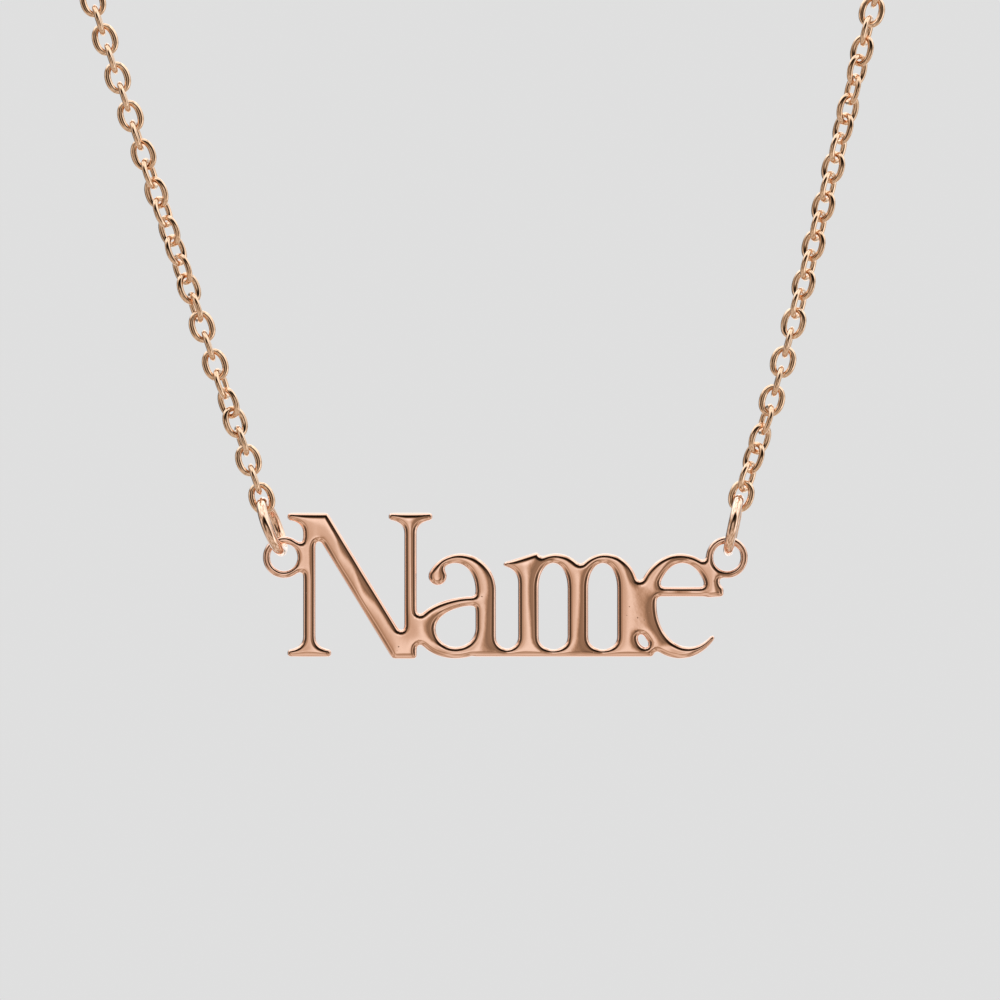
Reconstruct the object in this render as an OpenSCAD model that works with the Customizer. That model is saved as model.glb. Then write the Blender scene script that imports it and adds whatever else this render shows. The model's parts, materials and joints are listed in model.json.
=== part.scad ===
// Nameplate necklace in rose gold. An openwork plate of fused letters hangs by two jump
// rings from an oval cable chain, which closes with a plain clasp behind the neck.
// Millimetres, +Z up, the plate's face towards -Y. The origin is at the nape of the neck,
// on the side of the clasp that lies against it.

/* [Nameplate] */
// Distance between the centres of the two eyes
eye_span = 35; // [33:0.5:38]
// Thickness of the letters
plate_t = 1.2; // [1:0.05:1.5]
// Height of the capital letter
cap_h = 11.4; // [10.8:0.1:12.2]
// Height of the small letters
x_h = 8.05; // [7.7:0.05:8.4]
// Width of the last letter
last_w = 7; // [6.6:0.1:7.4]
// Width of a thick stroke
stem_w = 1.65; // [1.4:0.05:1.8]
// Width of the capital's two uprights
post_w = 1; // [0.9:0.05:1.2]
// Width of a hairline
hair_w = 0.8; // [0.76:0.02:0.9]
// How far the round letters pass the lines that the flat ones stand on
overshoot = 0.15; // [0.05:0.01:0.2]
// Thickness of a serif at its tip
serif_t = 0.6; // [0.5:0.02:0.7]
// Length of a serif beyond its stroke
serif_reach = 1.25; // [1.2:0.05:1.4]
// Height of the curve between a serif and its stroke
bracket_h = 1.5; // [1.2:0.05:1.8]
// Radius in the notches where strokes flow together
notch_r = 0.25; // [0.15:0.01:0.3]
// Radius on the outline's corners
corner_r = 0.2; // [0.1:0.01:0.25]

/* [Eyes] */
// Diameter of the hole in an eye
eye_hole_d = 2.15; // [2:0.05:2.3]
// Width of an eye's rim
eye_rim_w = 0.6; // [0.5:0.02:0.7]
// Thickness of an eye's rim from front to back
eye_rim_t = 0.8; // [0.76:0.02:0.9]
// How far an eye's rim sinks into its letter
eye_weld = 0.16; // [0.1:0.01:0.25]

/* [Jump rings] */
// Outer diameter of a jump ring
ring_d = 5; // [4.6:0.1:5.6]
// Wire diameter of a jump ring
ring_wire_d = 0.8; // [0.7:0.02:0.86]
// Play between a jump ring and what hangs in it, its eye and its first link
ring_play = 0.18; // [0.17:0.01:0.3]
// Outward lean of the left jump ring, in degrees
left_ring_lean = 21; // [10:1:25]
// Outward lean of the right jump ring, in degrees
right_ring_lean = 12; // [10:1:25]
// Turn of the left jump ring about its lean, in degrees
left_ring_turn = 9; // [0:1:12]
// Turn of the right jump ring about its lean, in degrees
right_ring_turn = 4; // [0:1:12]

/* [Chain] */
// Length of a link over its ends
link_l = 2.64; // [2.6:0.01:2.8]
// Width of a link over its sides
link_w = 2.05; // [2:0.01:2.2]
// Wire diameter of a link
link_wire_d = 0.46; // [0.4:0.01:0.48]
// Play between one link and the next
link_play = 0.13; // [0.12:0.01:0.16]

/* [Clasp] */
// Outer diameter of the clasp's ring
clasp_d = 5.5; // [5:0.1:6.5]
// Wire diameter of the clasp's ring
clasp_wire_d = 0.8; // [0.7:0.02:0.86]
// Outer diameter of the clasp's small eye
clasp_eye_d = 2.6; // [2.4:0.05:3]
// Wire diameter of the clasp's small eye
clasp_eye_wire_d = 0.6; // [0.5:0.02:0.64]
// How far the small eye sinks into the clasp's ring
clasp_weld = 0.4; // [0.3:0.02:0.5]

/* [Hang] */
// Height of the nape above the line that the plate swings about
drop = 118; // [114:1:122]
// Distance from the nape forward to the plate
depth = 70; // [66:1:74]

/* [Hidden] */

plate_color = "#dca58c";
wire_color = "#e2b08d";

// Segments round a wire or a small curve, and round a ring
fine = 20;
round_fine = 3 * fine;
// Degrees from one point to the next on a letter's ovals and on its serifs
outline_step = 8;
serif_step = 15;

left = -1;
right = 1;

// Eyes. The last letter leans its shoulder against the right eye at this angle
// of its oval, and that sets the height of both eyes.
shoulder_angle = 44;
eye_r = eye_hole_d / 2 + eye_rim_w;
eye_mid_r = (eye_hole_d + eye_rim_w) / 2;
last_rx = last_w / 2;
round_rz = x_h / 2 + overshoot;
shoulder = [last_rx * cos(shoulder_angle), round_rz * sin(shoulder_angle)];
shoulder_out = unit([shoulder.x / last_rx ^ 2, shoulder.y / round_rz ^ 2]);
eye_from_last = shoulder + shoulder_out * (eye_r - eye_weld);
eye_z = x_h / 2 + eye_from_last.y;
last_x = eye_span / 2 - eye_from_last.x;

// The line that the plate swings about runs through the tops of both eyes' rims.
swing_z = eye_z + eye_mid_r * cos((left_ring_lean + right_ring_lean) / 2);

// The word runs from the left eye's rim to the last letter's left side. Each letter before
// the last takes a share of that run: where it starts and where it ends.
word_x0 = -eye_span / 2 + eye_r - eye_weld;
word_w = last_x - last_rx + eye_weld - word_x0;
CAPITAL = [0, 0.34];
SECOND = [0.334, 0.577];
THIRD = [0.642, 1];
function at(share) = word_x0 + word_w * share;

function unit(v) = v / norm(v);
function mix(a, b, t) = a + (b - a) * t;

// A curved stroke between two ovals, from one angle to another. An oval is
// [centre across, centre up, radius across, radius up].
module oval_stroke(outer, inner, from, to) {
    steps = ceil((to - from) / outline_step);
    angles = [for (i = [0:steps]) mix(from, to, i / steps)];
    function point(oval, a) = [oval[0] + oval[2] * cos(a), oval[1] + oval[3] * sin(a)];
    polygon(concat(
        [for (a = angles) point(outer, a)],
        [for (i = [steps:-1:0]) point(inner, angles[i])]
    ));
}

// The oval inside another one that leaves these walls at its right, top, left and bottom.
function inside(oval, walls) = [
    oval[0] + (walls[2] - walls[0]) / 2,
    oval[1] + (walls[3] - walls[1]) / 2,
    oval[2] - (walls[0] + walls[2]) / 2,
    oval[3] - (walls[1] + walls[3]) / 2
];

// One side of a serif on the line z, reaching out from x. Up is 1 on the baseline
// and -1 at a letter's top, side is left or right.
module serif(x, z, up, side) {
    curve = [
        for (a = [0:serif_step:90])
            [x + side * serif_reach * (1 - sin(a)), z + up * mix(serif_t, bracket_h, 1 - cos(a))]
    ];
    polygon(concat(curve, [[x, z], [x + side * serif_reach, z]]));
}

module stem(x0, x1, z0, z1) {
    translate([x0, z0])
        square([x1 - x0, z1 - z0]);
}

// The hairline at the foot of a round letter is a little heavier than the others.
foot_hair_w = 1.2 * hair_w;

// The capital: two uprights and a thick diagonal from the top left to the bottom right.
module capital_outline() {
    x0 = at(CAPITAL[0]);
    x1 = at(CAPITAL[1]);
    rise = cap_h + overshoot;
    run = x1 - x0;
    slant_w = stem_w * norm([rise, run - stem_w]) / rise;
    stem(x0, x0 + post_w, 0, cap_h);
    stem(x1 - post_w, x1, -overshoot, cap_h);
    polygon([
        [x0, cap_h], [x0 + slant_w, cap_h], [x1, -overshoot], [x1 - slant_w, -overshoot]
    ]);
    serif(x0, 0, 1, left);
    serif(x0 + post_w, 0, 1, right);
    serif(x0, cap_h, -1, left);
    serif(x1 - post_w, cap_h, -1, left);
    serif(x1, cap_h, -1, right);
}

// The second letter: a stem with a round shoulder, a bowl low on its left, a round drop
// at the shoulder's end and a foot on the right. The shoulder's radii are shares of the
// letter's width and height, and the bowl's middle and top are shares of its height.
shoulder_share = [0.44, 0.36];
bowl_z = 0.28 * x_h;
bowl_top = 0.6 * x_h;
drop_angle = 150;
drop_r = 0.45 * stem_w;

module second_outline() {
    x0 = at(SECOND[0]);
    x1 = at(SECOND[1]);
    w = x1 - x0;
    stem_x = x1 - stem_w;
    arm_rx = shoulder_share.x * w;
    arm_rz = shoulder_share.y * x_h;
    arm = [x1 - arm_rx, x_h + overshoot - arm_rz, arm_rx, arm_rz];
    arm_end = [arm[0] + arm_rx * cos(drop_angle), arm[1] + arm_rz * sin(drop_angle)];
    arm_out = unit([cos(drop_angle) / arm_rx, sin(drop_angle) / arm_rz]);
    counter_rx = (stem_x - x0 - stem_w) / 2;
    upper = [stem_x, bowl_z, stem_x - x0, bowl_top - bowl_z];
    lower = [x0 + w / 2, bowl_z, w / 2, bowl_z + overshoot];
    counter = [x0 + stem_w + counter_rx, bowl_z, counter_rx, lower[3] - foot_hair_w];
    stem(stem_x, x1, 0, arm[1]);
    oval_stroke(arm, inside(arm, [stem_w, hair_w, hair_w, hair_w]), 0, drop_angle);
    translate(arm_end - drop_r * arm_out)
        circle(drop_r, $fn = 2 * fine);
    oval_stroke(upper, inside(upper, [stem_w, hair_w, stem_w, hair_w]), 90, 180);
    oval_stroke(lower, counter, 180, 360);
    serif(x1, 0, 1, right);
}

// The third letter: three stems and two arches, with a flag at the top of the first stem.
// Its serifs run together along the baseline. An arch springs from this height, and its
// outer radius is a share of the distance between two stems.
spring_z = 0.68 * x_h;
arch_share = 0.66;

module third_outline() {
    x0 = at(THIRD[0]);
    pitch = (at(THIRD[1]) - x0 - stem_w) / 2;
    arch_rx = arch_share * pitch;
    arch_rz = x_h + overshoot - spring_z;
    counter_rx = (pitch - stem_w) / 2;
    for (i = [0:2]) {
        x = x0 + i * pitch;
        stem(x, x + stem_w, 0, i == 0 ? x_h - serif_t : spring_z);
        serif(x, 0, 1, left);
        serif(x + stem_w, 0, 1, right);
    }
    for (i = [1:2]) {
        x = x0 + i * pitch;
        oval_stroke(
            [x + stem_w - arch_rx, spring_z, arch_rx, arch_rz],
            [x - counter_rx, spring_z, counter_rx, arch_rz - hair_w], 0, 180
        );
    }
    flag(x0, x_h);
}

// A slanted serif at the top left of a stem.
flag_tip_t = serif_t / 2;
flag_rise = 2 * overshoot;

module flag(x, z) {
    tip = [x - serif_reach, z - serif_t];
    curve = [
        for (a = [0:serif_step:90])
            [mix(tip.x, x, sin(a)), tip.y - mix(flag_tip_t, bracket_h, 1 - cos(a))]
    ];
    stem_side = [[x + stem_w, z - bracket_h], [x + stem_w, z + flag_rise]];
    polygon(concat([tip], curve, stem_side));
}

// The last letter: an open oval with a level bar. Its lower half thins towards its end.
bar_z = 0.59 * x_h;
bar_angle = asin((bar_z - x_h / 2) / round_rz);
tail_angle = 322;
tail_w = hair_w / 3;
last_right_w = 0.8 * stem_w;

module last_outline() {
    oval = [last_x, x_h / 2, last_rx, round_rz];
    upper = inside(oval, [last_right_w, hair_w, stem_w, foot_hair_w]);
    lower = inside(oval, [tail_w, hair_w, stem_w, foot_hair_w]);
    bar_x0 = last_x - last_rx + stem_w / 2;
    bar_x1 = last_x + last_rx * cos(bar_angle);
    oval_stroke(oval, upper, bar_angle, 180);
    oval_stroke(oval, lower, 180, tail_angle);
    stem(bar_x0, bar_x1, bar_z, bar_z + hair_w);
}

// The whole word, with its notches and corners rounded, and grown to the eyes' rims. Past
// this distance from an eye's centre the outline holds the outer half of its rim too.
web_x = eye_r / 2;

module word_outline() {
    $fn = fine;
    difference() {
        offset(r = corner_r)
            offset(delta = -corner_r)
                offset(r = -notch_r)
                    offset(delta = notch_r) {
                        capital_outline();
                        second_outline();
                        third_outline();
                        last_outline();
                        for (side = [left, right])
                            at_eye(side)
                                circle(eye_r, $fn = round_fine);
                    }
        for (side = [left, right])
            at_eye(side) {
                circle(eye_mid_r, $fn = round_fine);
                intersection() {
                    circle(eye_r + corner_r, $fn = round_fine);
                    translate([web_x - 2 * eye_r, -2 * eye_r])
                        square([2 * eye_r, 4 * eye_r]);
                }
            }
    }
}

// Places an eye's parts with +X towards the letter that carries it.
module at_eye(side) {
    translate([side * eye_span / 2, eye_z])
        rotate(side == left ? 0 : 180 + atan2(shoulder_out.y, shoulder_out.x))
            children();
}

// The rim's section is a slot with round ends, so that the plate can swing in its jump ring.
module eye_rim() {
    flat = (eye_rim_t - eye_rim_w) / 2;
    rotate_extrude($fn = round_fine)
        translate([eye_mid_r, 0]) {
            square([eye_rim_w, 2 * flat], center = true);
            for (end = [-flat, flat])
                translate([0, end])
                    circle(d = eye_rim_w, $fn = fine);
        }
}

module nameplate() {
    color(plate_color)
        translate([0, -depth, -drop - swing_z])
            rotate([90, 0, 0]) {
                linear_extrude(plate_t, center = true)
                    word_outline();
                for (side = [left, right])
                    at_eye(side)
                        eye_rim();
            }
}

// A jump ring's place: it bears on the top of its eye's rim and leans outward.
function ring_lean(side) = side == left ? left_ring_lean : right_ring_lean;
function ring_turn(side) = side == left ? left_ring_turn : right_ring_turn;
function lean_dir(side) = [side * sin(ring_lean(side)), 0, cos(ring_lean(side))];
function eye_seat(side) =
    [side * eye_span / 2, -depth, -drop - swing_z + eye_z] + eye_mid_r * lean_dir(side);
ring_mid_r = (ring_d - ring_wire_d) / 2;
ring_rise = ring_d / 2 - ring_wire_d - eye_rim_w / 2 - ring_play;
function ring_at(side) = eye_seat(side) + ring_rise * lean_dir(side);

module round_ring(mid_r, wire_d) {
    rotate_extrude($fn = round_fine)
        translate([mid_r, 0])
            circle(d = wire_d, $fn = fine);
}

module jump_ring(side) {
    color(wire_color)
        translate(ring_at(side))
            rotate([0, side * ring_lean(side), 0])
                rotate([0, 0, -ring_turn(side)])
                    rotate([0, 90, 0])
                        round_ring(ring_mid_r, ring_wire_d);
}

// The clasp is a closed ring with a small eye beside it, flat against the nape.
clasp_mid_r = (clasp_d - clasp_wire_d) / 2;
clasp_eye_mid_r = (clasp_eye_d - clasp_eye_wire_d) / 2;
clasp_eye_x = clasp_d / 2 + clasp_eye_d / 2 - clasp_weld;
// Where the chains' end wires lie, inside the ring on the left and the small eye on the right
left_bearing = -clasp_d / 2 + clasp_wire_d + link_play + link_wire_d / 2;
right_bearing = clasp_eye_x + clasp_eye_d / 2 - clasp_eye_wire_d - link_play - link_wire_d / 2;
clasp_x = -(left_bearing + right_bearing) / 2;
clasp_y = clasp_wire_d / 2;

module clasp() {
    color(wire_color)
        translate([clasp_x, clasp_y, 0])
            rotate([90, 0, 0]) {
                round_ring(clasp_mid_r, clasp_wire_d);
                translate([clasp_eye_x, 0, 0])
                    round_ring(clasp_eye_mid_r, clasp_eye_wire_d);
            }
}

// Chain. Each side's route runs from its jump ring up the front and round to the nape.
// The points are [outward, back, up] from the middle of the line that the plate swings about.
LEFT_ROUTE = [
    [24, 0, 17], [28.6, 0, 30.5], [32.4, 0, 42], [38, 2, 60], [43, 9, 78], [46, 24, 98],
    [40, 46, 111], [25, 64, 117], [12, 70, 118]
];
RIGHT_ROUTE = [
    [21.9, 0, 14], [26.4, 0, 31.5], [29, 0, 42], [34, 2, 60], [40, 9, 78], [44.5, 24, 98],
    [39.5, 46, 111], [25, 64, 117], [12, 70, 118]
];
// Turn of the links about the route: distance from the first link, degrees
LEFT_TWIST = [
    [0, 0], [3, 0], [6, 19], [8, 49], [11, 90], [14, 90], [18, 127], [24, 145], [32, 180]
];
RIGHT_TWIST = [
    [0, -12], [2, -38], [5, -55], [8, -90], [12, -92], [16, -120], [28, -122], [33, -155], [40, -90]
];
route_steps = 12;

link_mid_r = (link_w - link_wire_d) / 2;
link_side = link_l - link_w;
link_end = link_l / 2 - link_wire_d / 2;
link_pitch = link_l - 2 * link_wire_d - link_play;

// A smooth curve through the points, as points closer together.
function spline(p, n) = [
    for (i = [0:len(p) - 2], j = [0:n - 1]) spline_point(
        i == 0 ? 2 * p[0] - p[1] : p[i - 1], p[i], p[i + 1],
        i == len(p) - 2 ? 2 * p[i + 1] - p[i] : p[i + 2], j / n
    ),
    p[len(p) - 1]
];
function spline_point(a, b, c, d, t) =
    ((-a + 3 * b - 3 * c + d) * t ^ 3 + (2 * a - 5 * b + 4 * c - d) * t ^ 2 + (c - a) * t + 2 * b) / 2;

// A side's first link hangs in its jump ring, and its last link in the clasp. These are the
// links' middles, next is the route's next point, and link_rise is where the first link's
// wire lies above the ring's middle.
link_rise = ring_d / 2 - ring_wire_d - ring_play - link_wire_d / 2;
function first_link(side, next) =
    let (wire_at = ring_at(side) + link_rise * lean_dir(side))
    wire_at + link_end * unit(next - wire_at);
function last_link(side) =
    [clasp_x + (side == left ? left_bearing - link_end : right_bearing + link_end), clasp_y, 0];

function route_points(side) =
    let (
        inner = [
            for (p = side == left ? LEFT_ROUTE : RIGHT_ROUTE)
                [side * p.x, p.y - depth, p.z - drop]
        ]
    ) spline(concat([first_link(side, inner[0])], inner, [last_link(side)]), route_steps);

// Distances along a list of points.
function lengths(p) = [
    for (i = 0, s = 0; i < len(p); i = i + 1, s = s + (i < len(p) ? norm(p[i] - p[i - 1]) : 0)) s
];

// The link's frame is carried along the route without turning about it.
function carry(across, along) = unit(across - (across * along) * along);

module link() {
    for (end = [0, 180])
        rotate([0, end, 0])
            translate([0, 0, link_side / 2])
                rotate([90, 0, 0])
                    rotate_extrude(angle = 180, $fn = round_fine)
                        translate([link_mid_r, 0])
                            circle(d = link_wire_d, $fn = fine);
    for (side = [left, right])
        translate([side * link_mid_r, 0, -link_side / 2])
            cylinder(d = link_wire_d, h = link_side, $fn = fine);
}

module chain(side) {
    points = route_points(side);
    run = lengths(points);
    total = run[len(run) - 1];
    count = round(total / link_pitch);
    xs = [for (i = [0:len(run) - 1]) [run[i], points[i].x]];
    ys = [for (i = [0:len(run) - 1]) [run[i], points[i].y]];
    zs = [for (i = [0:len(run) - 1]) [run[i], points[i].z]];
    function place(s) = [lookup(s, xs), lookup(s, ys), lookup(s, zs)];
    places = [for (i = [0:count]) place(total * i / count)];
    function along(i) = unit(places[min(i + 1, count)] - places[max(i - 1, 0)]);
    frames = [
        for (i = 0, v = carry([1, 0, 0], along(0));
             i <= count;
             i = i + 1, v = carry(v, along(min(i, count))))
            v
    ];
    twist = side == left ? LEFT_TWIST : RIGHT_TWIST;
    twist_end = twist[len(twist) - 1];
    // Out of sight the links turn slowly until the last one stands across the clasp.
    turned = twist_end[1] + (count % 2) * 90;
    sideways = [frames[count], cross(along(count), frames[count])] * [0, 1, 0];
    to_clasp = atan2(sideways.y, sideways.x) - turned;
    closing = to_clasp - 180 * round(to_clasp / 180);
    turns = concat(twist, [[total, twist_end[1] + closing]]);
    color(wire_color)
        for (i = [0:count]) {
            z = along(i);
            x = frames[i];
            y = cross(z, x);
            m = [
                [x.x, y.x, z.x, places[i].x],
                [x.y, y.y, z.y, places[i].y],
                [x.z, y.z, z.z, places[i].z],
                [0, 0, 0, 1]
            ];
            multmatrix(m)
                rotate(lookup(total * i / count, turns) + (i % 2) * 90)
                    link();
        }
}

nameplate();
jump_ring(left);  // left_jump_ring
jump_ring(right);  // right_jump_ring
chain(left);  // left_chain
chain(right);  // right_chain
clasp();
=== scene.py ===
"""The looks of a rose gold nameplate necklace: polished plate, jump rings, cable chain and clasp.

Every shape is worked out from the fixed frame. The plate's soft edges are raised from its
outline, and the wire pieces are swept again as smooth wire where the frame's solids lie.
"""

import json
import math

import bmesh
import bpy
import numpy as np
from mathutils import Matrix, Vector, geometry, kdtree


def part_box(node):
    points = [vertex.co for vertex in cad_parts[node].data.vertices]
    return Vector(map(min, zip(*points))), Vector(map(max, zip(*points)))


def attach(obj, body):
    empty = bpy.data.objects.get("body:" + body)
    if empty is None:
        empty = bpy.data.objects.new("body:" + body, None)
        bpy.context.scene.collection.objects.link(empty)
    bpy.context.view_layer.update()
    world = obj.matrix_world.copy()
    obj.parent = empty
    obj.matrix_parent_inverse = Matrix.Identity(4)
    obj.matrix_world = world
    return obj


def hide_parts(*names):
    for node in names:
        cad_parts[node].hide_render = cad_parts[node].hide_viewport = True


MM = 0.001

# Camera. A pixel of the photograph is PIXEL wide at the plate.
FRAME_PIXELS = 1000
PIXEL = 0.079 * MM
CAMERA_DISTANCE = 500 * MM
CAMERA_CLIP = 10 * MM
SENSOR = 36.0
# The plate's middle and its baseline in the photograph
PHOTO_MIDDLE_X = 505.5
PHOTO_BASELINE_Y = 657
# The round letters reach this far below the line that the flat ones stand on.
BASELINE_RISE = 0.15 * MM

# Plate
# Its edge from the outline inward. Columns: how deep in, in millimetres, and the sine of the slope.
EDGE_PROFILE = (
    (0, 1),
    (0.03, 0.965),
    (0.06, 0.9),
    (0.09, 0.76),
    (0.12, 0.56),
    (0.15, 0.40),
    (0.20, 0.32),
    (0.27, 0.22),
    (0.34, 0.12),
    (0.42, 0.04),
    (0.5, 0),
)
PROFILE_STEPS = 4000
# The face between the edges is a soft dome: how much of the half thickness it takes, how far
# in from the outline it goes on rising, and how many rounds work it out.
DOME_SHARE = 0.28
DOME_REACH = 0.6 * MM
DOME_ROUNDS = 600
# The eyes' rims are thinner than the letters.
EYE_HALF_T = 0.4 * MM
EYE_RIM_W = 0.6 * MM
EYE_BLEND = 0.5 * MM
# The frame's corners that are one, and how its outline is evened out and smoothed
SAME_CORNER = 1e-7
FEWEST_POINTS = 12
OUTLINE_SOFTNESS = 0.13 * MM
# Depth, slope and dome are held on a grid that reaches a little past the plate.
FIELD_PITCH = 0.04 * MM
FIELD_MARGIN = 4 * FIELD_PITCH
DIRECTION_BLUR = 0.075 * MM
# The face's points: steps along the outline, rings that follow it so many millimetres in, and
# a grid within them. A ring's point is dropped where it lies nearer to any stretch of the
# outline than RING_KEPT_FROM times the ring's depth.
EDGE_STEP = 0.09 * MM
EDGE_RINGS = (0.012, 0.03, 0.055, 0.085, 0.12, 0.155, 0.20, 0.26, 0.33, 0.41, 0.49)
RING_KEPT_FROM = 0.93
FACE_STEP = 0.14 * MM
SAME_PLACE = FIELD_PITCH / 1000
# Keeps a level normal from being divided by nothing
LEAST_LENGTH = 1e-9

# Wire pieces
LINK_WIRE_D = 0.46 * MM
RING_WIRE_D = 0.8 * MM
CLASP_EYE_WIRE_D = 0.6 * MM
# How many points go round a link and round a ring, and round the wire of each
LINK_POINTS = 40
LINK_WIRE_POINTS = 20
RING_POINTS = 120
RING_WIRE_POINTS = 28
# A link's shape: the power of its oval, how much wider its wire is on the inner sides, and the
# powers of the wire's section across the link and through it
LINK_FULLNESS = 2.15
LINK_SIDE_EXTRA = 0.08 * MM
LINK_RIDGE = 1.38
LINK_FLATNESS = 2.2

# Rose gold. Each has a colour for its raised places and one for its low ones.
PLATE_COLORS = (0.90, 0.605, 0.47), (0.88, 0.575, 0.435)
LINK_COLORS = (0.87, 0.635, 0.455), (0.84, 0.585, 0.40)
RING_COLORS = (0.91, 0.67, 0.525), (0.88, 0.62, 0.46)
PLATE_POLISH = {
    "roughness": 0.045,
    "wave_height": 0.23 * MM,
    "ripple_height": 0.0025 * MM,
    "pit_depth": 0.016 * MM,
}
WIRE_POLISH = {
    "roughness": 0.06,
    "wave_height": 0.022 * MM,
    "ripple_height": 0.0006 * MM,
    "pit_depth": 0.003 * MM,
}
# Polishing waves, finer ripple, faint marks and casting pits, in features per metre. The waves
# are drawn out lengthwise, and the pits keep to a few patches.
WAVE_SCALE = 330
WAVE_LENGTHWISE = 0.35
RIPPLE_SCALE = 1700
MARK_SCALE = 2600
PIT_SCALE = 1500
PIT_EDGES = (0.02, 0.09)
PITTED_EDGES = (0.64, 0.76)
# Painted shade in the pits: how far a pit's colour is darkened, and how dark it gets as a share of
# the low colour
PIT_PAINTED_SHADE = 0.6
PIT_PAINTED_DARK = 0.35
PIT_ROUGHNESS = 0.25
# How much of the colour's change follows the waves, the rest following the marks
WAVE_TONE = 0.6
TONE_EDGES = (0.35, 0.65)
# Roughness between marks and what a mark adds, as shares of the finish's own
CLEAR_ROUGHNESS = 0.75
MARK_ROUGHNESS = 0.5

# Floor. It fades out between two shares of its radius.
FLOOR_R = 330 * MM
FLOOR_POINTS = 96
FLOOR_DROP = 80 * MM
FLOOR_MIDDLE_Y = -30 * MM
FLOOR_FADE = (0.5, 0.97)
FLOOR_GREY = 0.8
FLOOR_ROUGHNESS = 0.9
FLOOR_GRAIN_SCALE = 900
FLOOR_GRAIN_EDGES = (0.3, 0.7)
FLOOR_GRAIN_DARK = 0.985

# Studio. The camera sees a plain backdrop, and the metal mirrors the rest.
BACKDROP_GREY = 0.74
# How bright the studio is along an arc that starts at the viewer and ends at the backdrop, for
# each of four ways round. Columns: degrees along the arc, and brightness as a share of GLARE.
GLARE = 2.45
OVERHEAD = (
    (0, 0.38),
    (4, 0.44),
    (8, 0.4),
    (12, 0.16),
    (17, 0.04),
    (24, 0.005),
    (43, 0.005),
    (51, 0.4),
    (64, 0.52),
    (100, 0.58),
    (130, 0.7),
    (152, 0.52),
    (180, 0.42),
)
UNDERFOOT = (
    (0, 0.39),
    (6, 0.35),
    (14, 0.29),
    (60, 0.28),
    (116, 0.27),
    (134, 0.5),
    (154, 0.5),
    (180, 0.42),
)
TO_THE_LEFT = (
    (0, 0.38),
    (9, 0.38),
    (17, 0.35),
    (25, 0.17),
    (31, 0.04),
    (58, 0.02),
    (68, 0.3),
    (96, 0.34),
    (110, 0.12),
    (168, 0.08),
    (180, 0.42),
)
TO_THE_RIGHT = (
    (0, 0.38),
    (6, 0.44),
    (12, 0.41),
    (19, 0.2),
    (25, 0.05),
    (50, 0.03),
    (58, 0.46),
    (72, 0.56),
    (86, 0.36),
    (112, 0.28),
    (150, 0.3),
    (180, 0.42),
)
# Where one way round gives over to the next: how much of a direction's lean from the arc's
# start is up or down, and how much to the right. LEAST_LEAN keeps off a division by nothing.
STEEP_EDGES = (0.2, 0.8)
SIDE_EDGES = (-0.25, 0.25)
LEAST_LEAN = 0.001
# Things in the studio that the metal mirrors as darker and brighter patches
PATCH_SCALE = 4.5
PATCH_EDGES = (0.34, 0.64)
PATCH_DARK = 0.6
PATCH_LIGHT = 1.25
# A slim dark upright, a little to the right of straight ahead
UPRIGHT_TOWARD = (0.15, -0.985, 0.01)
UPRIGHT_EDGES = (0.06, 0.15)
UPRIGHT_SLIMNESS = 0.3
UPRIGHT_DARK = 0.74
# The dim parts of the studio are warmer than its lamps.
WARM_SHADE = (1.0, 0.76, 0.56)
WARM_BELOW = 0.35
WHITE_ABOVE = 1.15
# The backdrop's end of the arc is a little cooler. It shows as the pale line on every edge.
COOL_BACKDROP = (0.955, 1.015, 1.075)
BACKDROP_EDGES = (0.56, 0.72)


# Meshes


def mesh_piece(name, points, faces, body, material, replaces, normals=None):
    """A smooth piece that stands for some frame nodes and moves with their body."""
    mesh = bpy.data.meshes.new(name)
    mesh.from_pydata(points.tolist(), [], faces.tolist())
    mesh.polygons.foreach_set("use_smooth", [True] * len(mesh.polygons))
    mesh.materials.append(material)
    if normals is not None:
        mesh.normals_split_custom_set_from_vertices(normals.tolist())
    mesh.update()
    piece = bpy.data.objects.new(name, mesh)
    bpy.context.scene.collection.objects.link(piece)
    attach(piece, body)
    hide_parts(*replaces)


def corners(node):
    """A node's corners, each place once, and its triangles as rows of three of them."""
    mesh = node.data
    mesh.calc_loop_triangles()
    places = np.empty(len(mesh.vertices) * 3, np.float32)
    mesh.vertices.foreach_get("co", places)
    triangles = np.empty(len(mesh.loop_triangles) * 3, np.int32)
    mesh.loop_triangles.foreach_get("vertices", triangles)
    decimals = round(-math.log10(SAME_CORNER))
    rounded = np.round(places.reshape(-1, 3), decimals)
    places, index = np.unique(rounded, axis=0, return_inverse=True)
    return places.astype(float), index.reshape(-1)[triangles].reshape(-1, 3)


def islands(node):
    """The corners of each loose solid in a node."""
    places, triangles = corners(node)
    a = np.concatenate([triangles[:, 0], triangles[:, 1]])
    b = np.concatenate([triangles[:, 1], triangles[:, 2]])
    label = np.arange(len(places))
    while True:
        before = label.copy()
        low = np.minimum(label[a], label[b])
        np.minimum.at(label, a, low)
        np.minimum.at(label, b, low)
        label = label[label]
        if np.array_equal(label, before):
            break
    order = np.argsort(label, kind="stable")
    cuts = np.flatnonzero(np.diff(label[order])) + 1
    return [places[part] for part in np.split(order, cuts)]


def own_frame(points):
    """A solid's middle, its three own directions from the longest to the shortest, its size."""
    middle = points.mean(0)
    axes = np.linalg.svd(points - middle, full_matrices=False)[2]
    axes[2] = np.cross(axes[0], axes[1])
    along = (points - middle) @ axes.T
    middle = middle + (along.max(0) + along.min(0)) / 2 @ axes
    return middle, axes, along.max(0) - along.min(0)


# Plate


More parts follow.
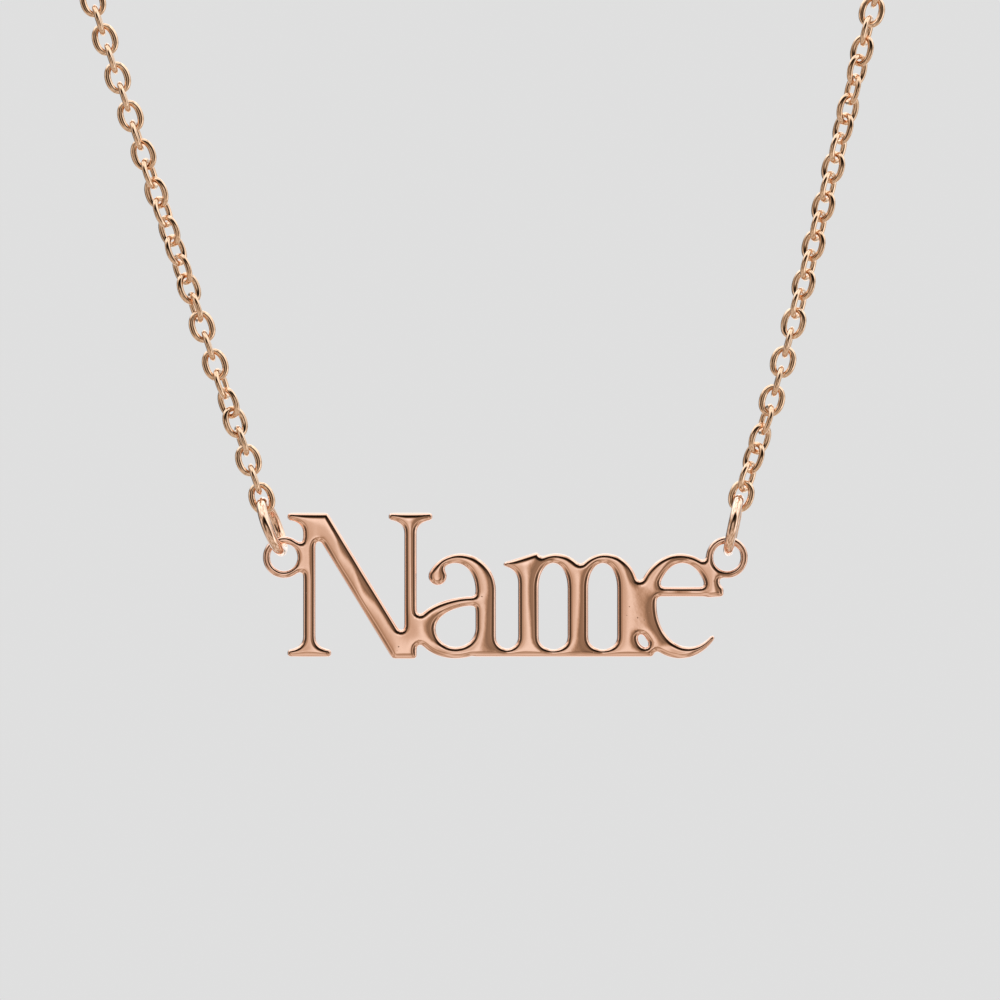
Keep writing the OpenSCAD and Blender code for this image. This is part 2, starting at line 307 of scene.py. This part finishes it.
def plate_loops(node, middle_y):
    """The closed loops of the plate's outline halfway through its thickness, as (x, z)."""
    bm = bmesh.new()
    bm.from_mesh(node.data)
    bmesh.ops.remove_doubles(bm, verts=bm.verts, dist=SAME_CORNER)
    cut = bmesh.ops.bisect_plane(
        bm,
        geom=bm.verts[:] + bm.edges[:] + bm.faces[:],
        plane_co=(0, middle_y, 0),
        plane_no=(0, 1, 0),
        clear_inner=True,
        clear_outer=True,
    )["geom_cut"]
    ways = {}
    for edge in cut:
        if isinstance(edge, bmesh.types.BMEdge):
            for vert, other in (edge.verts, reversed(edge.verts)):
                ways.setdefault(vert, []).append(other)
    loops, seen = [], set()
    for start in ways:
        if start in seen:
            continue
        loop, before, here = [], None, start
        while here not in seen:
            seen.add(here)
            loop.append(here)
            onward = [vert for vert in ways[here] if vert is not before]
            before, here = here, onward[0]
        loops.append(np.array([(vert.co.x, vert.co.z) for vert in loop]))
    bm.free()
    return loops


def area(loop):
    """Twice the area inside a loop, above zero where it runs anticlockwise."""
    x, z = loop.T
    return float(np.sum(x * np.roll(z, -1) - np.roll(x, -1) * z))


def even_loop(loop, step):
    """The loop again with its points an even step apart."""
    closed = np.concatenate([loop, loop[:1]])
    run = np.concatenate([[0], np.cumsum(np.linalg.norm(np.diff(closed, axis=0), axis=1))])
    count = max(FEWEST_POINTS, round(run[-1] / step))
    at = np.linspace(0, run[-1], count, endpoint=False)
    return np.stack([np.interp(at, run, closed[:, k]) for k in (0, 1)], 1)


def soft_loop(loop, step, softness):
    """An even loop whose corners and facets are smoothed over a distance of softness."""
    even = even_loop(loop, step)
    wave = np.fft.fftfreq(len(even), step)
    soft = np.exp(-2 * (math.pi * wave * softness) ** 2)
    return np.real(np.fft.ifft(np.fft.fft(even, axis=0) * soft[:, None], axis=0))


class Outline:
    """The plate's outline, for the distance of any point from it."""

    def __init__(self, loops, step):
        largest = max(loops, key=lambda loop: abs(area(loop)))
        self.loops = []
        for loop in loops:
            keeps_metal_left = (area(loop) > 0) == (loop is largest)
            self.loops.append(loop if keeps_metal_left else loop[::-1])
        parts = [even_loop(loop, step) for loop in self.loops]
        self.points = np.concatenate(parts)
        self.ends = np.concatenate([np.roll(part, -1, 0) for part in parts])
        starts = np.cumsum([len(part) for part in parts])[:-1]
        numbers = np.split(np.arange(len(self.points)), starts)
        self.before = np.concatenate([np.roll(part, 1) for part in numbers])
        self.tree = kdtree.KDTree(len(self.points))
        for i, (x, z) in enumerate(self.points):
            self.tree.insert((x, z, 0), i)
        self.tree.balance()

    def depth(self, places):
        """How deep each place lies inside the outline; below zero outside it."""
        near = np.array([self.tree.find((x, z, 0))[1] for x, z in places])
        best = np.full(len(places), np.inf)
        sign = np.ones(len(places))
        for edge in (near, self.before[near]):
            a, b = self.points[edge], self.ends[edge]
            along = b - a
            share = np.clip(np.sum((places - a) * along, 1) / np.sum(along**2, 1), 0, 1)
            off = places - (a + share[:, None] * along)
            gap = np.linalg.norm(off, axis=1)
            closer = gap < best
            best = np.where(closer, gap, best)
            side = along[:, 0] * off[:, 1] - along[:, 1] * off[:, 0]
            sign = np.where(closer, np.where(side >= 0, 1.0, -1.0), sign)
        return best * sign


class Field:
    """Numbers or vectors on an even grid over the plate, read between its points."""

    def __init__(self, low, values):
        self.low, self.values = low, values

    def __call__(self, places):
        """What the grid holds at each place, blended from the four points round it."""
        values = self.values
        at = (places - self.low) / FIELD_PITCH
        cell = np.clip(np.floor(at).astype(int), 0, np.array(values.shape[:2]) - 2)
        x, z = cell.T
        u, v = np.clip(at - cell, 0, 1).T
        if values.ndim == 3:
            u, v = u[:, None], v[:, None]
        low = values[x, z] * (1 - u) + values[x + 1, z] * u
        high = values[x, z + 1] * (1 - u) + values[x + 1, z + 1] * u
        return low * (1 - v) + high * v


def blurred(values, reach):
    """Numbers on a grid smoothed along both its sides, reach being a number of its cells."""
    # Past three times the reach the weights are next to nothing.
    half = math.ceil(3 * reach)
    weights = np.exp(-0.5 * (np.arange(-half, half + 1) / reach) ** 2)
    weights /= weights.sum()
    for side in (0, 1):
        values = np.apply_along_axis(lambda line: np.convolve(line, weights, "same"), side, values)
    return values


def downhill(values):
    """The way down and how steep it is at each point of a grid, slightly blurred."""
    fall = -np.stack(np.gradient(values, FIELD_PITCH), -1)
    reach = DIRECTION_BLUR / FIELD_PITCH
    return np.stack([blurred(fall[..., k], reach) for k in (0, 1)], -1)


def domed(depth):
    """A soft dome over the whole outline, 1 where it is widest, like a stretched skin."""
    inside = np.clip(depth / FIELD_PITCH + 0.5, 0, 1)
    pull = (FIELD_PITCH / DOME_REACH) ** 2
    dome = np.zeros_like(depth)
    for _ in range(DOME_ROUNDS):
        beside = sum(np.roll(dome, step, side) for side in (0, 1) for step in (1, -1))
        dome = inside * (beside + pull) / (4 + pull)
    return dome


def plate_fields(outline, low, high):
    """The way outward, the dome's height and the way down its sides, all over the plate."""
    start = np.array([low.x, low.z]) - FIELD_MARGIN
    end = np.array([high.x, high.z]) + FIELD_MARGIN
    sides = [np.arange(start[k], end[k], FIELD_PITCH) for k in (0, 1)]
    grid = np.stack(np.meshgrid(*sides, indexing="ij"), -1)
    depth = outline.depth(grid.reshape(-1, 2)).reshape(grid.shape[:2])
    dome = domed(depth)
    return [Field(start, values) for values in (downhill(depth), dome, downhill(dome))]


def edge_rise(depth):
    """The rounded edge: its height as a share of the full one, and its slope."""
    depths, sines = np.array(EDGE_PROFILE).T
    ends = np.linspace(0, depths[-1] * MM, PROFILE_STEPS + 1)
    middles = (ends[1:] + ends[:-1]) / 2
    sine = np.interp(middles, depths * MM, sines)
    slopes = sine / np.sqrt(1 - sine**2)
    heights = np.concatenate([[0], np.cumsum(slopes * np.diff(ends))])
    height = np.interp(depth, ends, heights) / heights[-1]
    return height, np.interp(depth, middles, slopes) / heights[-1]


def eye_circles(loops):
    """The two eyes' middles and outer radii: the holes that lie furthest out on each side."""
    holes = sorted(loops, key=lambda loop: abs(area(loop)))[:-1]
    eyes = []
    for pick in (min, max):
        hole = pick(holes, key=lambda loop: loop[:, 0].mean())
        middle = (hole.max(0) + hole.min(0)) / 2
        radius = np.ptp(hole[:, 0]) / 2 + EYE_RIM_W
        eyes.append((middle, radius))
    return eyes


def half_thickness(places, eyes, half_t):
    """The plate's half thickness, which eases down to that of the eyes' rims."""
    thick = np.full(len(places), half_t)
    for middle, radius in eyes:
        away = np.linalg.norm(places - middle, axis=1)
        share = np.clip((away - radius + EYE_RIM_W / 2) / EYE_BLEND, 0, 1)
        ease = share * share * (3 - 2 * share)
        thick = np.minimum(thick, EYE_HALF_T + (half_t - EYE_HALF_T) * ease)
    return thick


def face_points(outline):
    """Points for the face and the outline's edges: outline, rings inside it, and inner grid."""
    loops = [even_loop(loop, EDGE_STEP) for loop in outline.loops]
    border = np.concatenate(loops)
    edges, start = [], 0
    for loop in loops:
        count = len(loop)
        edges += [(start + i, start + (i + 1) % count) for i in range(count)]
        start += count
    inner = []
    for k, ring in enumerate(EDGE_RINGS):
        deep = ring * MM
        for loop in loops:
            onward = np.roll(loop, -1, 0) - np.roll(loop, 1, 0)
            inward = np.stack([-onward[:, 1], onward[:, 0]], 1)
            inward /= np.linalg.norm(inward, axis=1)[:, None]
            shifted = (loop + np.roll(loop, -1, 0)) / 2 if k % 2 else loop
            places = shifted + inward * deep
            inner.append(places[outline.depth(places) > RING_KEPT_FROM * deep])
    low, high = border.min(0), border.max(0)
    xs = np.arange(low[0], high[0], FACE_STEP)
    zs = np.arange(low[1], high[1], FACE_STEP * math.sqrt(3) / 2)
    grid = np.array([(x + (k % 2) * FACE_STEP / 2, z) for k, z in enumerate(zs) for x in xs])
    inner.append(grid[outline.depth(grid) > EDGE_RINGS[-1] * MM + FACE_STEP / 2])
    return border, edges, np.concatenate(inner)


def flat_face(outline):
    """The face laid flat: its places, its triangles, and which places lie on the outline."""
    border, edges, inner = face_points(outline)
    flat = [Vector(place) for place in np.concatenate([border, inner])]
    verts, _, triangles, *_ = geometry.delaunay_2d_cdt(flat, edges, [], 0, SAME_PLACE, False)
    places = np.array([(vert.x, vert.y) for vert in verts])
    triangles = np.array(triangles)
    triangles = triangles[outline.depth(places[triangles].mean(1)) > 0]
    first, second = (places[triangles[:, k]] - places[triangles[:, 0]] for k in (1, 2))
    backward = first[:, 0] * second[:, 1] - first[:, 1] * second[:, 0] < 0
    triangles[backward] = triangles[backward][:, ::-1]
    return places, triangles, np.arange(len(places)) < len(border)


def letters_plate(node, material):
    """The openwork plate with softly rounded edges, front and back, and its two eyes."""
    low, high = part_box(node.name)
    middle_y = (low.y + high.y) / 2
    half_t = (high.y - low.y) / 2
    solid_loops = plate_loops(node, middle_y)
    loops = [soft_loop(loop, FIELD_PITCH, OUTLINE_SOFTNESS) for loop in solid_loops]
    outline = Outline(loops, FIELD_PITCH)
    outward, dome, dome_fall = plate_fields(outline, low, high)
    places, triangles, rim = flat_face(outline)

    inside = np.where(rim, 0, np.maximum(outline.depth(places), 0))
    share, slope = edge_rise(inside)
    thick = half_thickness(places, eye_circles(loops), half_t)
    dome_h = DOME_SHARE * half_t * (thick - EYE_HALF_T) / (half_t - EYE_HALF_T)
    edge_h = thick - dome_h
    rise = edge_h * share + dome_h * np.where(rim, 0, dome(places))
    lean = outward(places) * (slope * edge_h)[:, None]
    lean += dome_fall(places) * dome_h[:, None]
    facing = 1 / np.hypot(1, np.linalg.norm(lean, axis=1))
    lean *= facing[:, None]
    lean[rim] /= np.maximum(np.linalg.norm(lean[rim], axis=1), LEAST_LENGTH)[:, None]
    facing[rim] = 0

    # The back mirrors the front, and both share the places on the outline.
    x, z = places.T
    points = np.concatenate([np.stack([x, middle_y + side * rise, z], 1) for side in (-1, 1)])
    lean_x, lean_z = lean.T
    normals = np.concatenate([np.stack([lean_x, side * facing, lean_z], 1) for side in (-1, 1)])
    behind = np.arange(len(places)) + np.where(rim, 0, len(places))
    faces = np.concatenate([triangles, behind[triangles[:, ::-1]]])
    used, faces = np.unique(faces, return_inverse=True)
    normals = normals[used] / np.linalg.norm(normals[used], axis=1)[:, None]
    mesh_piece(
        "letters_plate",
        points[used],
        faces.reshape(-1, 3),
        "plate",
        material,
        [node.name],
        normals,
    )


# Wire pieces


def once_round(count, first_power, second_power):
    """Two coordinates of points round a curve: a circle at powers of 2, and fuller above them."""
    turn = np.linspace(0, 2 * math.pi, count, endpoint=False)
    c, s = np.cos(turn), np.sin(turn)
    c = np.sign(c) * np.abs(c) ** (2 / first_power)
    s = np.sign(s) * np.abs(s) ** (2 / second_power)
    return c[:, None], s[:, None]


def oval(middle, long_axis, cross_axis, half_l, half_w, count, power=2):
    """A closed path: an ellipse, or above a power of 2 one that is nearer to a slot."""
    c, s = once_round(count, power, power)
    return middle + half_l * c * long_axis + half_w * s * cross_axis


def closed_wire(path, normal, wire_d, wire_points, extra=0, across_power=2, through_power=2):
    """Wire swept along a flat closed path. extra is how much wider it is on the inner side.

    The powers are 2 for round wire. Below 2, across_power gives its two flat sides a soft ridge;
    above 2, through_power makes its inner and outer sides flatter.
    """
    count = len(path)
    tangent = np.roll(path, -1, 0) - np.roll(path, 1, 0)
    tangent /= np.linalg.norm(tangent, axis=1)[:, None]
    outward = np.cross(tangent, normal)
    extra = np.broadcast_to(extra, count)[:, None]
    path = path - outward * extra / 2
    half_w = (wire_d + extra) / 2
    c, s = once_round(wire_points, across_power, through_power)
    across = c * outward[:, None] * half_w[:, None]
    through = s * normal * wire_d / 2
    points = (path[:, None] + across + through).reshape(-1, 3)
    i, j = np.meshgrid(np.arange(count), np.arange(wire_points), indexing="ij")
    next_i, next_j = (i + 1) % count, (j + 1) % wire_points
    square = (i, j), (i, next_j), (next_i, next_j), (next_i, j)
    faces = np.stack([a * wire_points + b for a, b in square], -1)
    return points, faces.reshape(-1, 4)


def wire_piece(node, name, material, wires):
    """One piece of the chain loop from the points and faces of several wires."""
    starts = np.cumsum([0] + [len(points) for points, _ in wires[:-1]])
    mesh_piece(
        name,
        np.concatenate([points for points, _ in wires]),
        np.concatenate([faces + start for (_, faces), start in zip(wires, starts)]),
        "chain_loop",
        material,
        [node.name],
    )


def chain_links(node, name, material):
    """Smooth oval links, each in the place of one of the frame's."""
    turn = np.linspace(0, 2 * math.pi, LINK_POINTS, endpoint=False)
    extra = LINK_SIDE_EXTRA * np.sin(turn) ** 2
    section = LINK_WIRE_D, LINK_WIRE_POINTS, extra, LINK_RIDGE, LINK_FLATNESS
    links = []
    for solid in islands(node):
        middle, axes, size = own_frame(solid)
        half_l, half_w = (size[:2] - LINK_WIRE_D) / 2
        path = oval(middle, axes[0], axes[1], half_l, half_w, LINK_POINTS, LINK_FULLNESS)
        links.append(closed_wire(path, axes[2], *section))
    wire_piece(node, name, material, links)


def jump_ring(node, name, material):
    """A smooth round ring of thicker wire."""
    middle, axes, size = own_frame(corners(node)[0])
    radius = (size[0] + size[1]) / 4 - RING_WIRE_D / 2
    path = oval(middle, axes[0], axes[1], radius, radius, RING_POINTS)
    wire_piece(node, name, material, [closed_wire(path, axes[2], RING_WIRE_D, RING_WIRE_POINTS)])


def clasp_rings(node, name, material):
    """The clasp's closed ring and the small eye soldered to its side."""
    low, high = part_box(node.name)
    ring_d = high.z - low.z
    places = corners(node)[0]
    eye_d = np.ptp(places[places[:, 0] > low.x + ring_d, 2])
    across, back, up = np.eye(3)
    # Columns: middle, outer diameter, wire diameter
    sizes = (
        (low.x + ring_d / 2, ring_d, RING_WIRE_D),
        (high.x - eye_d / 2, eye_d, CLASP_EYE_WIRE_D),
    )
    rings = []
    for x, outer_d, wire_d in sizes:
        middle = np.array([x, (low.y + high.y) / 2, (low.z + high.z) / 2])
        radius = (outer_d - wire_d) / 2
        path = oval(middle, across, up, radius, radius, RING_POINTS)
        rings.append(closed_wire(path, -back, wire_d, RING_WIRE_POINTS))
    wire_piece(node, name, material, rings)


# Finishes


class Socket:
    """A shader node's output. Python's operators on it add Math nodes."""

    def __init__(self, shader, output):
        self.shader, self.output = shader, output

    def __add__(self, other):
        return self.shader.math("ADD", self, other)

    def __radd__(self, other):
        return self.shader.math("ADD", other, self)

    def __sub__(self, other):
        return self.shader.math("SUBTRACT", self, other)

    def __rsub__(self, other):
        return self.shader.math("SUBTRACT", other, self)

    def __mul__(self, other):
        return self.shader.math("MULTIPLY", self, other)

    def __rmul__(self, other):
        return self.shader.math("MULTIPLY", other, self)

    def __truediv__(self, other):
        return self.shader.math("DIVIDE", self, other)

    def __rtruediv__(self, other):
        return self.shader.math("DIVIDE", other, self)

    def ramp(self, low, high):
        """0 below low, 1 above high, and eased between them."""
        return self.shader.node(
            "ShaderNodeMapRange",
            {"interpolation_type": "SMOOTHSTEP"},
            {"Value": self, "From Min": low, "From Max": high},
        )


class Shader:
    """A node tree, emptied first, with one way to add a node."""

    def __init__(self, tree):
        self.tree = tree
        tree.nodes.clear()

    def node(self, kind, settings=None, inputs=None, output=0):
        """Adds a node, sets its settings and then its sockets, and gives one of its outputs."""
        made = self.tree.nodes.new(kind)
        for name, value in (settings or {}).items():
            if name == "stops":
                set_stops(made.color_ramp, value)
            else:
                setattr(made, name, value)
        for name, value in (inputs or {}).items():
            if isinstance(value, Socket):
                self.tree.links.new(value.output, made.inputs[name])
            else:
                made.inputs[name].default_value = value
        return Socket(self, made.outputs[output]) if made.outputs else None

    def math(self, operation, *values):
        """Arithmetic on numbers."""
        return self.node("ShaderNodeMath", {"operation": operation}, dict(enumerate(values)))

    def vector(self, operation, inputs, output="Vector"):
        """Arithmetic on vectors."""
        return self.node("ShaderNodeVectorMath", {"operation": operation}, inputs, output)

    def mixed(self, factor, low, high):
        """A colour between two others."""
        return self.node(
            "ShaderNodeMix", {"data_type": "RGBA"}, {0: factor, 6: low, 7: high}, output=2
        )

    def noise(self, places, scale, detail, roughness=0.5):
        """Soft random numbers from 0 to 1 that change from place to place."""
        return self.node(
            "ShaderNodeTexNoise",
            inputs={"Vector": places, "Scale": scale, "Detail": detail, "Roughness": roughness},
        )


def set_stops(ramp, stops):
    """Gives a colour ramp its stops, each a position and a colour."""
    while len(ramp.elements) < len(stops):
        ramp.elements.new(0.5)
    for element, (position, color) in zip(ramp.elements, stops):
        element.position = position
        element.color = color


def grey(level):
    """A grey as a colour socket takes it."""
    return level, level, level, 1


def new_material(name):
    """A material, and the shader that fills its node tree."""
    material = bpy.data.materials.new(name)
    material.use_nodes = True
    return material, Shader(material.node_tree)


def polished_gold(name, colors, roughness, wave_height, ripple_height, pit_depth):
    """Cast or drawn rose gold, polished by hand: soft waves, faint marks and a few pits, whose
    colour is darkened as painted shade.
    """
    color, deep_color = colors
    material, shader = new_material(name)
    places = shader.node("ShaderNodeTexCoord", output="Object")
    drawn_out = shader.vector("MULTIPLY", {0: places, 1: (1, 1, WAVE_LENGTHWISE)})
    waves = shader.noise(drawn_out, WAVE_SCALE, detail=0.6, roughness=0.3)
    ripple = shader.noise(places, RIPPLE_SCALE, detail=2)
    marks = shader.noise(places, MARK_SCALE, detail=4, roughness=0.7)
    cells = shader.node(
        "ShaderNodeTexVoronoi", {"feature": "F1"}, {"Vector": places, "Scale": PIT_SCALE}
    )
    pitted = shader.noise(places, WAVE_SCALE / 2, detail=0).ramp(*PITTED_EDGES)
    pits = (1 - cells.ramp(*PIT_EDGES)) * pitted
    height = waves * wave_height + ripple * ripple_height - pits * pit_depth
    normal = shader.node(
        "ShaderNodeBump", inputs={"Strength": 1.0, "Distance": 1.0, "Height": height}
    )
    tone = (waves * WAVE_TONE + marks * (1 - WAVE_TONE)).ramp(*TONE_EDGES)
    base = shader.mixed(tone, (*deep_color, 1), (*color, 1))
    # Painted shade: each pit's colour is darkened towards a much darker copy of the low colour.
    painted_pit_shade = [PIT_PAINTED_DARK * part for part in deep_color]
    base = shader.mixed(pits * PIT_PAINTED_SHADE, base, (*painted_pit_shade, 1))
    rough = roughness * (CLEAR_ROUGHNESS + marks * MARK_ROUGHNESS) + pits * PIT_ROUGHNESS
    surface = shader.node(
        "ShaderNodeBsdfPrincipled",
        inputs={"Base Color": base, "Metallic": 1.0, "Roughness": rough, "Normal": normal},
    )
    shader.node("ShaderNodeOutputMaterial", inputs={"Surface": surface})
    return material


def floor_material():
    """Pale matt floor with a faint grain, which fades out before its edge."""
    material, shader = new_material("pale_floor")
    places = shader.node("ShaderNodeTexCoord", output="Object")
    away = shader.vector("LENGTH", {0: places}, "Value")
    fade = away.ramp(*(share * FLOOR_R for share in FLOOR_FADE))
    grain = shader.noise(places, FLOOR_GRAIN_SCALE, detail=3).ramp(*FLOOR_GRAIN_EDGES)
    base = shader.mixed(grain, grey(FLOOR_GREY * FLOOR_GRAIN_DARK), grey(FLOOR_GREY))
    matt = shader.node(
        "ShaderNodeBsdfPrincipled", inputs={"Base Color": base, "Roughness": FLOOR_ROUGHNESS}
    )
    clear = shader.node("ShaderNodeBsdfTransparent")
    shown = shader.node("ShaderNodeMixShader", inputs={0: fade, 1: matt, 2: clear})
    shader.node("ShaderNodeOutputMaterial", inputs={"Surface": shown})
    return material


# Studio


def arc_level(shader, arc, table):
    """The brightness that a table gives at a share of the half turn."""
    stops = [(degrees / 180, grey(level)) for degrees, level in table]
    color = shader.node("ShaderNodeValToRGB", {"stops": stops}, {"Fac": arc}, "Color")
    return shader.node("ShaderNodeSeparateColor", inputs={0: color}, output="Red")


def studio_level(shader, arc, x, z):
    """The studio's brightness before its patches, blended from the tables of the four ways."""
    lean = shader.math("MAXIMUM", shader.math("SQRT", x * x + z * z), LEAST_LEAN)
    up = (z / lean).ramp(*STEEP_EDGES)
    down = (0 - z / lean).ramp(*STEEP_EDGES)
    right = (x / lean).ramp(*SIDE_EDGES)
    beside = arc_level(shader, arc, TO_THE_RIGHT) * right
    beside = beside + arc_level(shader, arc, TO_THE_LEFT) * (1 - right)
    level = beside * (1 - up - down)
    level = level + arc_level(shader, arc, OVERHEAD) * up
    return level + arc_level(shader, arc, UNDERFOOT) * down


def dark_upright(shader, toward):
    """1 where the slim dark upright stands, and 0 beside it."""
    slim = shader.vector("MULTIPLY", {0: toward, 1: (1, 1, UPRIGHT_SLIMNESS)})
    aside = shader.vector("DISTANCE", {0: slim, 1: UPRIGHT_TOWARD}, "Value")
    return 1 - aside.ramp(*UPRIGHT_EDGES)


def studio_world():
    """A pale backdrop, and a soft studio that the metal mirrors."""
    world = bpy.data.worlds.new("studio")
    bpy.context.scene.world = world
    world.use_nodes = True
    shader = Shader(world.node_tree)
    toward = shader.node("ShaderNodeTexCoord", output="Generated")
    x, y, z = (
        shader.node("ShaderNodeSeparateXYZ", inputs={0: toward}, output=axis) for axis in "XYZ"
    )
    ahead = shader.math("MAXIMUM", shader.math("MINIMUM", 0 - y, 1), -1)
    arc = shader.math("ARCCOSINE", ahead) / math.pi
    patches = shader.noise(toward, PATCH_SCALE, detail=0.5).ramp(*PATCH_EDGES)
    level = studio_level(shader, arc, x, z) * GLARE
    level = level * (PATCH_DARK + patches * (PATCH_LIGHT - PATCH_DARK))
    level = level * (1 - dark_upright(shader, toward) * UPRIGHT_DARK)
    tint = shader.mixed(level.ramp(WARM_BELOW, WHITE_ABOVE), (*WARM_SHADE, 1), grey(1))
    tint = shader.mixed(arc.ramp(*BACKDROP_EDGES), tint, (*COOL_BACKDROP, 1))
    glow = shader.vector("SCALE", {0: tint, "Scale": level})
    lit = shader.node("ShaderNodeBackground", inputs={"Color": glow, "Strength": 1.0})
    plain = shader.node(
        "ShaderNodeBackground", inputs={"Color": grey(BACKDROP_GREY), "Strength": 1.0}
    )
    seen = shader.node("ShaderNodeLightPath", output="Is Camera Ray")
    both = shader.node("ShaderNodeMixShader", inputs={0: seen, 1: lit, 2: plain})
    shader.node("ShaderNodeOutputWorld", inputs={"Surface": both})


def pale_floor(low_z):
    """A round floor below the plate, which the metal doesn't mirror."""
    bm = bmesh.new()
    bmesh.ops.create_circle(bm, cap_ends=True, segments=FLOOR_POINTS, radius=FLOOR_R)
    mesh = bpy.data.meshes.new("floor")
    bm.to_mesh(mesh)
    bm.free()
    mesh.materials.append(floor_material())
    floor = bpy.data.objects.new("floor", mesh)
    floor.location = (0, FLOOR_MIDDLE_Y, low_z - FLOOR_DROP)
    bpy.context.scene.collection.objects.link(floor)
    floor.visible_glossy = False


def photo_camera(plate_low, plate_high, swing_x):
    """The photograph's straight front view."""
    middle_y = (plate_low.y + plate_high.y) / 2
    half = FRAME_PIXELS / 2
    x = swing_x + (half - PHOTO_MIDDLE_X) * PIXEL
    z = plate_low.z + BASELINE_RISE + (PHOTO_BASELINE_Y - half) * PIXEL
    data = bpy.data.cameras.new("photo_view")
    data.sensor_width = SENSOR
    data.lens = SENSOR / 2 / (half * PIXEL / CAMERA_DISTANCE)
    data.clip_start = CAMERA_CLIP
    camera = bpy.data.objects.new("photo_view", data)
    camera.location = (x, middle_y - CAMERA_DISTANCE, z)
    camera.rotation_euler = (math.pi / 2, 0, 0)
    bpy.context.scene.collection.objects.link(camera)
    bpy.context.scene.camera = camera


# The necklace in its studio

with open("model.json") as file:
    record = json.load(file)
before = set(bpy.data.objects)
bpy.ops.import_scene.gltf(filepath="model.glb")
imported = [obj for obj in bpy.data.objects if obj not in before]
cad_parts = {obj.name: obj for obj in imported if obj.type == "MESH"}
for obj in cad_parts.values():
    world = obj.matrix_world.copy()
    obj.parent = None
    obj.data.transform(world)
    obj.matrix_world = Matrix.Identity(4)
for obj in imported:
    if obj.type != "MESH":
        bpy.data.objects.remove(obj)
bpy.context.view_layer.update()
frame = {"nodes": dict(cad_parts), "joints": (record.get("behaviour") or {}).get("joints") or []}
nodes = frame["nodes"]
plate_low, plate_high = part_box("nameplate")
swing = next(joint for joint in frame["joints"] if joint["name"] == "plate_swing")

photo_camera(plate_low, plate_high, swing["pos_m"][0])
studio_world()
pale_floor(plate_low.z)
bpy.context.scene.view_settings.view_transform = "Standard"

plate_gold = polished_gold("plate_rose_gold", PLATE_COLORS, **PLATE_POLISH)
link_gold = polished_gold("link_rose_gold", LINK_COLORS, **WIRE_POLISH)
ring_gold = polished_gold("ring_rose_gold", RING_COLORS, **WIRE_POLISH)

letters_plate(nodes["nameplate"], plate_gold)
chain_links(nodes["left_chain"], "left_links", link_gold)
chain_links(nodes["right_chain"], "right_links", link_gold)
jump_ring(nodes["left_jump_ring"], "left_ring", ring_gold)
jump_ring(nodes["right_jump_ring"], "right_ring", ring_gold)
clasp_rings(nodes["clasp"], "clasp_rings", ring_gold)
